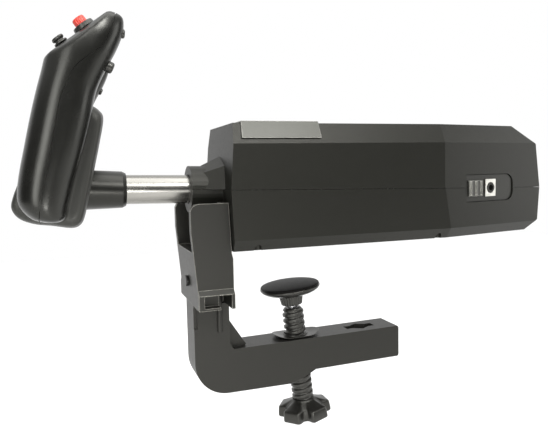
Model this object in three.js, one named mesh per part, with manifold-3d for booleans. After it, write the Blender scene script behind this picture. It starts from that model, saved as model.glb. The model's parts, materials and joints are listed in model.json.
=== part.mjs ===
// Desktop flight yoke: a two-horn grip on a sliding, turning chrome shaft, a long housing that
// rests on a desk, and an L-shaped screw clamp under the housing's front end.
//
// Millimetres. Desk frame: +X away from the pilot, +Y to the pilot's left, +Z up. The origin is on
// the underside of the desk pad, above the clamp screw. The shaft leans back a little, so
// what rides on it is built in the shaft frame: X along the shaft, its zero level with the yoke.
import * as THREE from 'three';
import { mergeGeometries, mergeVertices } from 'three/addons/utils/BufferGeometryUtils.js';
import Module from 'manifold-3d';

const wasm = await Module();
wasm.setup();

// ---- Driving dimensions -------------------------------------------------------------------

const GAP = 0.3;                 // between neighbours that touch
const shaftTilt = THREE.MathUtils.degToRad(1.3);
const yokeToClamp = 195;         // along the shaft, from the yoke to above the clamp screw
const shaftHeight = 53;          // shaft axis above the desk, above the clamp screw

const housing = {
  seamFront: -68.8, topZ: 110.5, bottomZ: 2, bevelTopZ: 93, bevelBottomZ: 11.5,
  halfWidth: 48, halfWidthAtBevel: 47.3, halfFlat: 41, bend: 143, taper: 10.5, rear: 275.5, wall: 2.6,
};
const shaft = { radius: 12.5, bore: 10.3, front: -12, rear: 236 };
const nose = { radius: 20.5, front: 98, bearing: 17.4, root: 127, flare: 30 };
const rods = { radius: 4, spread: 27, z: -8, front: 131.5, rear: 331 };
const sled = { front: 205, rear: 235 };
const horn = { y: 85, halfWidth: 17, wall: 2.4 };
const bracket = { front: -102, rear: -69.2, stop: -66.3, top: 43.6, bottom: -46.3, half: 39, cheek: 6, foot: 43 };
const arm = { half: 16.5, top: -88.5, bottom: -129.5, tip: 108.3, thin: -117.2, web: 9, slope: 0.0196 };
const screw = { lean: THREE.MathUtils.degToRad(6), radius: 10.3, pivotZ: -50, pitch: 5.8 };
const pocket = { x: 201, y: -37.1, z: 48.5, length: 66, height: 26, depth: 1.6 };

// ---- Finishes -----------------------------------------------------------------------------

const finish = (color, roughness, metalness = 0) =>
  new THREE.MeshStandardMaterial({ color, roughness, metalness });
const moulded = finish(0x3a3a36, 0.62);
const panelGrey = finish(0x7d807a, 0.5);
const satinBlack = finish(0x161615, 0.32);
const clampBlack = finish(0x33322f, 0.6);
const rubber = finish(0x1d1d1c, 0.9);
const chrome = finish(0xd9dadb, 0.08, 1);
const steel = finish(0x9b9c9d, 0.35, 1);
const zinc = finish(0xb9b8b0, 0.4, 1);
const acetal = finish(0xd8d4c6, 0.5);
const redPlastic = finish(0xc9352a, 0.35);
const boardGreen = finish(0x1d5a35, 0.55);

// ---- Shape helpers ------------------------------------------------------------------------

function solid(geometry) {
  const bare = geometry.clone();
  bare.deleteAttribute('normal');
  bare.deleteAttribute('uv');
  const merged = mergeVertices(bare, 1e-4);
  const vertProperties = new Float32Array(merged.attributes.position.array);
  const triVerts = new Uint32Array(merged.index.array);
  return new wasm.Manifold(new wasm.Mesh({ numProp: 3, vertProperties, triVerts }));
}

function toGeometry(manifold) {
  const mesh = manifold.getMesh();
  const geometry = new THREE.BufferGeometry();
  geometry.setAttribute('position', new THREE.BufferAttribute(new Float32Array(mesh.vertProperties), 3));
  geometry.setIndex(new THREE.BufferAttribute(new Uint32Array(mesh.triVerts), 1));
  return geometry;
}

function join(first, ...rest) {
  return rest.reduce((sum, next) => sum.add(next), first);
}

function cut(body, ...tools) {
  return tools.reduce((left, tool) => left.subtract(tool), body);
}

// A box between two opposite corners.
function block(x0, x1, y0, y1, z0, z1) {
  const geometry = new THREE.BoxGeometry(x1 - x0, y1 - y0, z1 - z0);
  geometry.translate((x0 + x1) / 2, (y0 + y1) / 2, (z0 + z1) / 2);
  return geometry;
}

// A round bar along +X from x0 to x1, which may taper.
function bar(x0, x1, radius, y = 0, z = 0, sides = 24, endRadius = radius) {
  const geometry = new THREE.CylinderGeometry(endRadius, radius, x1 - x0, sides);
  geometry.rotateZ(-Math.PI / 2);
  geometry.translate((x0 + x1) / 2, y, z);
  return geometry;
}

// A round post along +Z from z0 to z1.
function post(z0, z1, radius, x = 0, y = 0, sides = 20, topRadius = radius) {
  const geometry = new THREE.CylinderGeometry(topRadius, radius, z1 - z0, sides);
  geometry.rotateX(Math.PI / 2);
  geometry.translate(x, y, (z0 + z1) / 2);
  return geometry;
}

// A ring along +X: a bar with a bore.
function ring(x0, x1, outer, inner, sides = 32) {
  return cut(solid(bar(x0, x1, outer, 0, 0, sides)), solid(bar(x0 - 1, x1 + 1, inner, 0, 0, sides)));
}

// An outline in the X-Z plane, extruded along Y between y0 and y1.
function slab(points, y0, y1) {
  const shape = new THREE.Shape(points.map(([x, z]) => new THREE.Vector2(x, z)));
  const geometry = new THREE.ExtrudeGeometry(shape, { depth: y1 - y0, bevelEnabled: false });
  geometry.rotateX(Math.PI / 2);
  geometry.translate(0, y1, 0);
  return geometry;
}

// A closed skin over equal-sized rings of points, with flat ends.
function loft(rings) {
  const count = rings[0].length;
  const positions = rings.flat().flatMap((p) => [p.x, p.y, p.z]);
  const index = [];
  for (let r = 0; r + 1 < rings.length; r += 1) {
    for (let i = 0; i < count; i += 1) {
      const a = r * count + i;
      const b = r * count + ((i + 1) % count);
      index.push(a, b, b + count, a, b + count, a + count);
    }
  }
  const last = (rings.length - 1) * count;
  for (let i = 1; i + 1 < count; i += 1) {
    index.push(0, i + 1, i, last, last + i, last + i + 1);
  }
  const geometry = new THREE.BufferGeometry();
  geometry.setAttribute('position', new THREE.Float32BufferAttribute(positions, 3));
  geometry.setIndex(index);
  return geometry;
}

// Keeps the side of a body that lies behind the plane through three points, away from `outside`.
function plane(points, outside) {
  const [a, b, c] = points.map((p) => new THREE.Vector3(...p));
  const normal = b.clone().sub(a).cross(c.clone().sub(a)).normalize();
  if (normal.dot(new THREE.Vector3(...outside).sub(a)) < 0) normal.negate();
  return { at: a, normal };
}

function shave(body, { at, normal }, inset) {
  const reach = 700;
  const tool = new THREE.BoxGeometry(reach, reach, reach);
  tool.translate(0, 0, reach / 2);
  tool.applyQuaternion(new THREE.Quaternion().setFromUnitVectors(new THREE.Vector3(0, 0, 1), normal));
  const base = at.clone().addScaledVector(normal, -inset);
  tool.translate(base.x, base.y, base.z);
  return body.subtract(solid(tool));
}

const upward = new THREE.Vector3(0, 1, 0);
const shaftPlace = new THREE.Vector3(-yokeToClamp, 0, shaftHeight).applyAxisAngle(upward, shaftTilt);

// Carries a shape from the shaft frame to the desk frame.
function fromShaft(geometry) {
  geometry.rotateY(shaftTilt);
  geometry.translate(shaftPlace.x, shaftPlace.y, shaftPlace.z);
  return geometry;
}

const object = new THREE.Group();
const shaftFrame = new THREE.Group();
shaftFrame.rotation.y = shaftTilt;
shaftFrame.position.copy(shaftPlace);
object.add(shaftFrame);

function place(parent, name, shape, material) {
  const geometry = shape.isBufferGeometry ? shape : toGeometry(shape);
  const mesh = new THREE.Mesh(geometry, material);
  mesh.name = name;
  parent.add(mesh);
  return mesh;
}

// ---- Housing ------------------------------------------------------------------------------

const seamZ = shaftHeight;
const taperSlope = Math.tan(THREE.MathUtils.degToRad(housing.taper));
const taperHalf = (x, half = housing.halfWidth) => half - (x - housing.bend) * taperSlope;

// Faces of the housing's left half as planes; the right half mirrors them.
function housingFaces() {
  const h = housing;
  const edge = h.halfWidthAtBevel;
  const faces = [
    plane([[h.seamFront, 0, 54.5], [h.seamFront, 9, 54.5], [-65.5, 0, 97]], [-300, 0, 60]),
    plane([[h.seamFront, 0, 54.5], [h.seamFront, 9, 54.5], [-66.6, 0, 5]], [-300, 0, 50]),
    plane([[0, 0, h.topZ], [9, 0, h.topZ], [0, 9, h.topZ]], [0, 0, 300]),
    plane([[0, 0, h.bottomZ], [9, 0, h.bottomZ], [0, 9, h.bottomZ]], [0, 0, -300]),
    plane([[238, 0, h.topZ], [238, 9, h.topZ], [269.5, 0, 92]], [400, 0, 200]),
    plane([[269.5, 0, 92], [269.5, 9, 92], [h.rear, 0, 46.8]], [400, 0, 60]),
    plane([[h.rear, 0, 46.8], [h.rear, 9, 46.8], [272, 0, 13]], [400, 0, 30]),
    plane([[272, 0, 13], [272, 9, 13], [258.6, 0, h.bottomZ]], [400, 0, -100]),
  ];
  for (const side of [-1, 1]) {
    const y = (value) => side * value;
    const out = [0, y(300), 50];
    faces.push(plane([[0, y(h.halfWidth), seamZ], [9, y(h.halfWidth), seamZ], [0, y(edge), h.bevelTopZ]], out));
    faces.push(plane([[0, y(h.halfWidth), seamZ], [9, y(h.halfWidth), seamZ], [0, y(edge), h.bevelBottomZ]], out));
    faces.push(plane([[0, y(edge), h.bevelTopZ], [9, y(edge), h.bevelTopZ], [0, y(h.halfFlat), h.topZ]], out));
    faces.push(plane([[0, y(edge), h.bevelBottomZ], [9, y(edge), h.bevelBottomZ],
      [0, y(h.halfFlat), h.bottomZ]], out));
    const top = [h.bend - 3, y(edge), h.bevelTopZ];
    const low = [h.bend + 4, y(edge), h.bevelBottomZ];
    const back = 100;
    const rearTop = [top[0] + back, y(edge - back * taperSlope), top[2]];
    const rearLow = [low[0] + back, y(edge - back * taperSlope), low[2]];
    faces.push(plane([top, low, rearTop], out));
    faces.push(plane([top, rearTop, [top[0] - 1.2, y(h.halfFlat), h.topZ]], out));
    faces.push(plane([low, rearLow, [low[0] - 1.2, y(h.halfFlat), h.bottomZ]], out));
  }
  return faces;
}

function housingBlock(inset) {
  const start = solid(block(-100, 300, -60, 60, -10, 130));
  return housingFaces().reduce((body, face) => shave(body, face, inset), start);
}

const housingScrews = [[-45, -41], [-45, 41], [136, -41], [136, 41]];
const bossRadius = 5;

// The opening on the pilot's right side that holds the switch and socket panel.
function pocketShape(margin, y0, y1) {
  const half = pocket.height / 2 + margin;
  const round = 9 + margin;
  const end = pocket.length / 2 + margin;
  const shape = new THREE.Shape();
  shape.moveTo(-end, -half);
  shape.lineTo(end - round, -half);
  shape.absarc(end - round, -half + round, round, -Math.PI / 2, 0, false);
  shape.absarc(end - round, half - round, round, 0, Math.PI / 2, false);
  shape.lineTo(-end, half);
  const geometry = new THREE.ExtrudeGeometry(shape, { depth: y1 - y0, bevelEnabled: false, curveSegments: 5 });
  geometry.rotateX(Math.PI / 2);
  geometry.translate(0, y1, 0);
  return geometry;
}

function inPocket(geometry) {
  geometry.rotateZ(THREE.MathUtils.degToRad(housing.taper));
  geometry.translate(pocket.x, pocket.y, pocket.z);
  return geometry;
}

const skin = housingBlock(0);
const cavity = housingBlock(housing.wall);

// Half of the housing on one side of the seam: `up` is 1 for the upper shell and -1 for the lower.
function housingShell(up) {
  const side = up > 0 ? block(-300, 500, -100, 100, GAP / 2, 300) : block(-300, 500, -100, 100, -300, -GAP / 2);
  const keep = solid(fromShaft(side));
  const bossEnd = up > 0 ? [40, 75] : [3, 60];
  const bosses = housingScrews.map(([x, y]) => solid(post(bossEnd[0], bossEnd[1], bossRadius, x, y)));
  const noseBody = solid(fromShaft(bar(nose.front, nose.root + 1, nose.radius, 0, 0, 36)));
  const fairing = solid(fromShaft(bar(109, nose.root + 1, nose.radius, 0, 0, 8, nose.flare)));
  const inside = skin.intersect(join(...bosses));
  const shell = join(skin.subtract(cavity), inside, noseBody);
  const outer = up > 0 ? shell.add(fairing) : shell;
  const bearingSeat = solid(fromShaft(bar(nose.front + 2.5, nose.root + 8, nose.bearing, 0, 0, 36)));
  const mouth = solid(fromShaft(bar(nose.front - 5, nose.root, shaft.radius + 0.7, 0, 0, 36)));
  const pocketHole = solid(inPocket(pocketShape(0.4, -8, 10)));
  const pilots = housingScrews.map(([x, y]) => solid(post(-5, up > 0 ? 70 : 65, up > 0 ? 1.2 : 1.8, x, y, 12)));
  const heads = housingScrews.map(([x, y]) => solid(post(-5, 12, 3.4, x, y)));
  const clampHoles = [-20, 20].map((y) => solid(bar(-80, -60, 2.4, y, 25, 12)));
  const glandHole = solid(bar(255, 290, 6.4, 0, 30, 20));
  return cut(outer, bearingSeat, mouth, pocketHole, ...pilots, ...heads, ...clampHoles, glandHole).intersect(keep);
}

function topPanel() {
  const window = solid(slab([[-58.2, 97.6], [13.8, 97.6], [11.5, 130], [-57, 130]], -60, 60));
  return housingBlock(-1.7).subtract(housingBlock(-GAP)).intersect(window);
}

function buildHousing() {
  place(object, 'upper_housing', housingShell(1), moulded);
  place(object, 'lower_housing', housingShell(-1), moulded);
  place(object, 'top_panel', topPanel(), panelGrey);
  housingScrews.forEach(([x, y], i) => {
    const shape = join(solid(post(8.4, 11.7, 3, x, y, 16)), solid(post(11, 62, 1, x, y, 10)));
    place(object, `housing_screw_${i + 1}`, shape, steel);
  });
  place(object, 'desk_pad', block(-50, 110, -26, 26, 0, housing.bottomZ - GAP), rubber);
  const gland = join(solid(bar(262, 276, 6, 0, 30, 20)), solid(bar(275.4, 282, 8.5, 0, 30, 20, 5.4)));
  place(object, 'cable_gland', gland.subtract(solid(bar(255, 290, 3, 0, 30, 16))), rubber);
}

// ---- Switch and socket panel on the right-hand side ----------------------------------------

function buildPocket() {
  const frame = new THREE.Group();
  frame.position.set(pocket.x, pocket.y, pocket.z);
  frame.rotation.z = THREE.MathUtils.degToRad(housing.taper);
  object.add(frame);
  const face = pocket.depth;
  const slot = solid(block(-25, -14, face - 2, face + 4, -2, 2));
  const socketHole = solid(post(face - 2, face + 4, 5.4, 0, 0, 24).rotateX(Math.PI / 2));
  const hole = socketHole.translate([0, 2 * face + 2, 0]);
  const panel = cut(solid(pocketShape(0, face, face + 2)), slot, hole);
  place(frame, 'socket_panel', panel, satinBlack);

  const ribs = [-8, -6.6, -0.7, 0.7, 6.6, 8].map((x) => solid(block(x - 0.45, x + 0.45, -1.5, 0, -6.6, 6.6)));
  const sliderTop = solid(block(-9.3, 9.3, -0.6, face - GAP, -7.6, 7.6));
  const stem = solid(block(-3, 3, 0, 7, -1.6, 1.6));
  const slider = place(frame, 'mode_slider', join(sliderTop, stem, ...ribs), satinBlack);
  slider.position.x = -21.5;

  const plate = solid(block(-7.3, 7.3, 0.1, face - GAP, -8.6, 8.6));
  const plateHole = solid(new THREE.CylinderGeometry(5.4, 5.4, 12, 24));
  const insertOuter = solid(new THREE.CylinderGeometry(5, 5, 14, 24).translate(0, 6.6, 0));
  const insertBore = solid(new THREE.CylinderGeometry(3.1, 3.1, 12, 20).translate(0, 3, 0));
  place(frame, 'socket_plate', cut(plate, plateHole), zinc);
  place(frame, 'socket_insert', insertOuter.subtract(insertBore), satinBlack);
}

// ---- Inside the housing: guide rods, carriage, sensors and board ----------------------------

function rodBracket(x0, x1, bottom, mouth) {
  const plateBody = solid(block(x0, x1, -34, 34, bottom, 6));
  const holes = [-1, 1].map((side) => solid(bar(x0 - 1, x1 + 1, rods.radius + GAP, side * rods.spread, rods.z, 16)));
  const opening = solid(bar(x0 - 1, x1 + 1, mouth, 0, 0, 24));
  const body = cut(plateBody, ...holes);
  return mouth > 0 ? body.subtract(opening) : body;
}

function carriageBody() {
  const body = solid(block(sled.front, sled.rear, -38, 38, -20, 18));
  const seat = solid(bar(sled.front - 1, sled.rear + 1, 16.4, 0, 0, 32));
  const rodHoles = [-1, 1].map((side) =>
    solid(bar(sled.front - 1, sled.rear + 1, rods.radius + GAP, side * rods.spread, rods.z, 16)));
  const relief = [-1, 1].map((side) => solid(block(sled.front + 7, sled.rear - 7, side * 30 - 10, side * 30 + 10, 0, 20)));
  const arms = [-1, 1].map((side) => solid(block(sled.rear - 1, 259, side * 18 - 2, side * 18 + 2, -8, 8)));
  const back = solid(block(258, 261, -20, 20, -8, 8));
  return join(cut(body, seat, ...rodHoles, ...relief), ...arms, back);
}

function buildSlideUnit() {
  place(shaftFrame, 'front_bearing', ring(101, 123, nose.bearing - GAP, shaft.radius + 0.35, 36), acetal);
  for (const [name, side] of [['guide_rod_right', -1], ['guide_rod_left', 1]]) {
    place(shaftFrame, name, bar(rods.front, rods.rear, rods.radius, side * rods.spread, rods.z, 16), steel);
  }
  place(shaftFrame, 'rod_bracket_front', rodBracket(132, 136, -49, 19), moulded);
  place(shaftFrame, 'rod_bracket_rear', rodBracket(326, 330.7, -45, 0), moulded);
  place(shaftFrame, 'carriage', carriageBody(), acetal);
  place(shaftFrame, 'rear_bearing', ring(sled.front + 1, sled.rear - 1, 16.1, shaft.radius + 0.35), steel);
  const sensor = join(solid(bar(240, 257.6, 12, 0, 0, 24)), solid(bar(228, 241, 3, 0, 0, 12)));
  place(shaftFrame, 'roll_sensor', sensor, steel);
  place(shaftFrame, 'roll_spring', ring(191, 204.6, 15.6, 13.1, 24), steel);
  const springSleeve = (x0, x1) => ring(x0, x1, 6.6, 4.6, 16).translate([0, rods.spread, rods.z]);
  place(shaftFrame, 'pitch_spring_front', springSleeve(136.4, 204.6), steel);
  place(shaftFrame, 'pitch_spring_rear', springSleeve(235.4, 325.6), steel);
  const track = solid(block(158, 282, 8, 18, -45, -37));
  place(shaftFrame, 'pitch_sensor', track.subtract(solid(block(162, 278, 11.5, 14.5, -42, -30))), zinc);
  const wiper = join(solid(block(212, 228, 9, 17, -24, -20.3)), solid(block(218, 222, 12.2, 13.8, -40, -23)));
  place(shaftFrame, 'pitch_wiper', wiper, satinBlack);
  const chips = [[165, -22], [185, -12], [210, -24]].map(([x, y]) => solid(block(x, x + 13, y, y + 8, -43, -40)));
  place(shaftFrame, 'main_board', join(solid(block(150, 240, -32, 2, -44.6, -43)), ...chips), boardGreen);
}

// ---- Yoke ---------------------------------------------------------------------------------

// Side outline of a horn: height, face towards the pilot, face away from the pilot.
const hornStations = [
  [-20, -18, -8], [-17.5, -26, -4], [-11, -32.5, -3], [-3, -35, -1], [12, -33.5, 3], [32, -29.5, 9],
  [52, -25.3, 14], [70, -21, 18], [84, -17.2, 24], [98, -14, 31.5], [110, -11, 36.5], [119, -8, 37.6],
  [123.6, -4, 36.5], [125.6, 4, 33],
];
const ringPoints = 16;

// Squared-off oval in the X-Y plane.
function hornRing(side, z, x0, x1, half) {
  const points = [];
  for (let i = 0; i < ringPoints; i += 1) {
    const angle = (2 * Math.PI * i) / ringPoints;
    const squash = (v) => Math.sign(v) * Math.abs(v) ** 0.86;
    const x = (x0 + x1) / 2 + ((x1 - x0) / 2) * squash(Math.cos(angle));
    points.push(new THREE.Vector3(x, side * horn.y + half * squash(Math.sin(angle)), z));
  }
  return points;
}

function hornSolid(side, inset) {
  const rings = hornStations.map(([z, x0, x1], i) => {
    const end = i === 0 || i === hornStations.length - 1;
    const near = i === 1 || i === hornStations.length - 2;
    const slim = end ? 0.62 : near ? 0.86 : 1;
    const height = THREE.MathUtils.clamp(z, -20 + inset, 125.6 - inset);
    return hornRing(side, height, x0 + inset, x1 - inset, horn.halfWidth * slim - inset);
  });
  return solid(loft(rings));
}

// Flat slanted thumb face at a horn's top, in the X-Z plane.
const thumb = { low: [-11.5, 94.4], high: [24, 122.7] };
const thumbAngle = Math.atan2(thumb.high[1] - thumb.low[1], thumb.high[0] - thumb.low[0]);
const thumbCentre = [(thumb.low[0] + thumb.high[0]) / 2, (thumb.low[1] + thumb.high[1]) / 2];

// The thumb face and, from `crownEdge` either side of a horn's middle, the slopes that crown it.
const crownEdge = 9;
const crownDrop = 0.62;

function thumbPlanes() {
  const [x0, z0] = thumb.low;
  const [x1, z1] = thumb.high;
  const above = [-60, 0, 200];
  const planes = [plane([[x0, 0, z0], [x0, 9, z0], [x1, 0, z1]], above)];
  for (const side of [-1, 1]) {
    const y = side * (horn.y + crownEdge);
    const drop = side * 9;
    planes.push(plane([[x0, y, z0], [x1, y, z1], [x0, y + drop, z0 - crownDrop * 9]], above));
  }
  return planes;
}

// Side outline of the hub at its middle: points of a rounded wedge, deep at its foot.
const hubOutline = [
  [-14, -26.5], [-27, -24.8], [-37.5, -20.5], [-42.5, -13], [-41, -4], [-36.5, 8], [-31.5, 24], [-27, 41], [-21.5, 54],
  [-12, 63], [2, 67], [15, 66.5], [22.5, 62], [25, 55.5], [21.5, 36], [17.5, 17], [13, -4], [9.8, -19],
  [6.5, -26], [0, -30],
];

function hubSolid(inset) {
  const centre = new THREE.Vector2(-10, 15);
  const stations = [[-84, 0.62], [-76, 0.79], [-63, 0.91], [-36, 1], [36, 1], [63, 0.91], [76, 0.79], [84, 0.62]];
  const rings = stations.map(([y, scale]) => hubOutline.map(([x, z]) => {
    const arm2 = new THREE.Vector2(x, z).sub(centre);
    arm2.setLength(arm2.length() * scale - inset);
    return new THREE.Vector3(centre.x + arm2.x, y, centre.y + arm2.y);
  }));
  return solid(loft(rings));
}

function yokeBlock(inset) {
  const whole = join(hubSolid(inset), hornSolid(-1, inset), hornSolid(1, inset));
  return thumbPlanes().reduce((body, face) => shave(body, face, inset), whole);
}

// The seam between the two yoke shells, as seen from the side, from foot to tip.
const yokeSeam = [[-22.5, -45], [-20.1, -11.2], [-13.9, 19.6], [-6.1, 60.6], [-1.8, 72.1], [4.5, 84.7],
  [17.2, 95.6], [22.4, 100.2], [28.4, 113.1], [32, 125.5], [34, 140]];

function seamSide(towardsPilot) {
  const shift = towardsPilot ? -GAP / 2 : GAP / 2;
  const far = towardsPilot ? -90 : 90;
  const line = yokeSeam.map(([x, z]) => [x + shift, z]);
  return solid(slab([...line, [far, 140], [far, -45]], -130, 130));
}

const controls = {
  red: { x: 7.2, radius: 4.6 }, hat: { x: -12, radius: 5 },
  rearButton: { right: { x: 36.6, z: 111.5, radius: 3.2, lean: 4 }, left: { x: 29.2, z: 93.5, radius: 3.2, lean: 24 } },
  trigger: { x: 27.8, z: 87.6, radius: 4.8, lean: 24 },
};

// Brings a shape from a horn's thumb frame (Z out of the thumb face) to the shaft frame.
function fromThumb(geometry, side) {
  geometry.rotateY(-thumbAngle);
  geometry.translate(thumbCentre[0], side * horn.y, thumbCentre[1]);
  return geometry;
}

function fromRear(geometry, control, side) {
  geometry.rotateY(THREE.MathUtils.degToRad(control.lean));
  geometry.translate(control.x, side * horn.y, control.z);
  return geometry;
}

const yokeScrewY = 36;

function yokeShell(towardsPilot) {
  const hollow = yokeBlock(0).subtract(yokeBlock(horn.wall));
  const tools = [solid(bar(-14, 60, shaft.radius + 0.5, 0, 0, 32)), solid(bar(9.6, 60, 17.3, 0, 0, 32))];
  const bosses = [];
  for (const side of [-1, 1]) {
    tools.push(solid(fromThumb(post(-8, 8, 7, controls.red.x, 0, 24), side)));
    tools.push(solid(fromThumb(post(-8, 8, 4, controls.hat.x, 0, 20), side)));
    const rearControls = side < 0 ? [controls.rearButton.right, controls.trigger] : [controls.rearButton.left];
    for (const control of rearControls) {
      tools.push(solid(fromRear(bar(-8, 8, control.radius + 0.4, 0, 0, 20), control, side)));
    }
    bosses.push(solid(bar(-50, 20, 4.5, side * yokeScrewY, -9, 16)));
    tools.push(solid(bar(-22, 40, 1.6, side * yokeScrewY, -9, 12)));
    tools.push(solid(bar(6, 40, 3.3, side * yokeScrewY, -9, 16)));
  }
  const withBosses = hollow.add(yokeBlock(0).intersect(join(...bosses)));
  return cut(withBosses, ...tools).intersect(seamSide(towardsPilot));
}

function buildControls(side, hand) {
  const thumbFrame = new THREE.Group();
  thumbFrame.position.set(thumbCentre[0], side * horn.y, thumbCentre[1]);
  thumbFrame.rotation.y = -thumbAngle;
  shaftFrame.add(thumbFrame);
  const { red, hat, rearButton, trigger } = controls;

  const bezel = join(solid(post(0.3, 3.4, 8, 0, 0, 28, 7.4)), solid(post(-5, 1, 6.6, 0, 0, 28)));
  const bezelMesh = place(thumbFrame, `${hand}_button_ring`, bezel.subtract(solid(post(-9, 9, red.radius + 0.35))),
    satinBlack);
  bezelMesh.position.x = red.x;
  const redCap = join(solid(post(-6, 7.4, red.radius, 0, 0, 24)), solid(post(7.3, 8.6, red.radius, 0, 0, 24, 3.9)));
  place(thumbFrame, `${hand}_red_button`, redCap, redPlastic).position.x = red.x;
  const hatCap = join(solid(post(1.2, 3, hat.radius, 0, 0, 24)), solid(post(2.9, 6.2, 3.4, 0, 0, 24, 4.4)),
    solid(post(-4.4, 1.3, 2.2, 0, 0, 16)));
  place(thumbFrame, `${hand}_hat`, hatCap, satinBlack).position.x = hat.x;
  const gimbal = solid(post(-4.2, -2.9, 3.6, 0, 0, 16)).subtract(solid(post(-6, 0, 2.6, 0, 0, 16)));
  place(thumbFrame, `${hand}_hat_gimbal`, gimbal, steel).position.x = hat.x;
  const switchBoard = solid(block(-19, 15, -9, 9, -9.6, -8));
  place(thumbFrame, `${hand}_switch_board`, switchBoard, boardGreen);

  const rearControls = [['rear_button', rearButton[hand], 1.5]];
  if (hand === 'right') rearControls.push(['trigger', trigger, 3]);
  for (const [name, control, proud] of rearControls) {
    const cap = join(solid(bar(-5.5, proud - 0.7, control.radius, 0, 0, 20)),
      solid(bar(proud - 0.8, proud, control.radius, 0, 0, 20, control.radius - 0.8)));
    const mesh = place(shaftFrame, `${hand}_${name}`, cap, satinBlack);
    mesh.position.set(control.x, side * horn.y, control.z);
    mesh.rotation.y = THREE.MathUtils.degToRad(control.lean);
  }
  const yokeScrew = join(solid(bar(6.4, 9.4, 3, side * yokeScrewY, -9, 16)),
    solid(bar(-16, 6.6, 1.3, side * yokeScrewY, -9, 10)));
  place(shaftFrame, `yoke_screw_${hand}`, yokeScrew, steel);
}

function buildYoke() {
  place(shaftFrame, 'yoke_front_shell', yokeShell(true), satinBlack);
  place(shaftFrame, 'yoke_rear_shell', yokeShell(false), satinBlack);
  place(shaftFrame, 'shaft_tube', ring(shaft.front, shaft.rear, shaft.radius, shaft.bore, 36), chrome);
  const collarBore = solid(bar(0, 60, shaft.radius + GAP, 0, 0, 36));
  const collarBody = join(solid(bar(10, 41, 16.8, 0, 0, 36, 15.6)), solid(bar(40.9, 44, 15.6, 0, 0, 36, 14)));
  place(shaftFrame, 'shaft_collar', collarBody.subtract(collarBore), satinBlack);
  const clampBlock = solid(block(-13, 6, -20, 20, -19, 19));
  place(shaftFrame, 'shaft_clamp_block', clampBlock.subtract(collarBore.translate([-30, 0, 0])), moulded);
  place(shaftFrame, 'hub_board', block(-20.5, -19, -30, 30, 22, 46), boardGreen);
  buildControls(-1, 'right');
  buildControls(1, 'left');
}

// ---- Desk clamp ---------------------------------------------------------------------------

const boltZ = -27;

// Brings a shape from the screw frame (Z up the screw, zero at the swivel ball) to the desk frame.
function fromScrew(geometry) {
  geometry.rotateY(-screw.lean);
  geometry.translate(0, 0, screw.pivotZ);
  return geometry;
}

function bracketBody() {
  const b = bracket;
  const outline = [
    [b.front + 4.2, b.bottom], [b.front + 4.2, -30], [b.front, 20], [b.front, 37.5], [b.front + 1.6, 41],
    [b.front + 4.6, 43], [b.front + 8, b.top], [b.rear, b.top], [b.rear + 1.8, 0.5], [b.stop, -4], [b.stop, b.bottom],
  ];
  const section = [
    [-b.foot, b.bottom], [b.foot, b.bottom], [b.foot, -33.5], [b.half, -29.5], [-b.half, -29.5], [-b.foot, -33.5],
  ];
  const ends = [b.front + 4.4, b.stop - 0.2];
  const foot = solid(loft(ends.map((x) => section.map(([y, z]) => new THREE.Vector3(x, y, z)))));
  const body = solid(slab(outline, -b.half, b.half)).add(foot);
  const recess = solid(block(-120, -74, -b.half + b.cheek, b.half - b.cheek, 2.5, 80));
  const socket = solid(block(-95.4, -71.6, -13.4, 13.4, -60, -9.6));
  const tools = [recess, socket];
  for (const side of [-1, 1]) {
    const reach = [Math.min(side * 34, side * 60), Math.max(side * 34, side * 60)];
    const notch = [Math.min(side * 13.2, side * 60), Math.max(side * 13.2, side * 60)];
    tools.push(solid(block(-93, -69.5, ...reach, -44.3, -34)));
    tools.push(solid(block(-79, -69.5, ...notch, -60, -34)));
    tools.push(solid(bar(-80, -60, 2.4, side * 20, 25, 12)));
  }
  const boltHole = solid(bar(-110, -90, 3.1, 0, boltZ, 16));
  const boltHead = solid(bar(-110, -98.2, 5.6, 0, boltZ, 20));
  const noseRoom = solid(fromShaft(bar(nose.front - 20, nose.root + 9, nose.radius + 0.8, 0, 0, 36)));
  return cut(body, ...tools, boltHole, boltHead, noseRoom);
}

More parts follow.
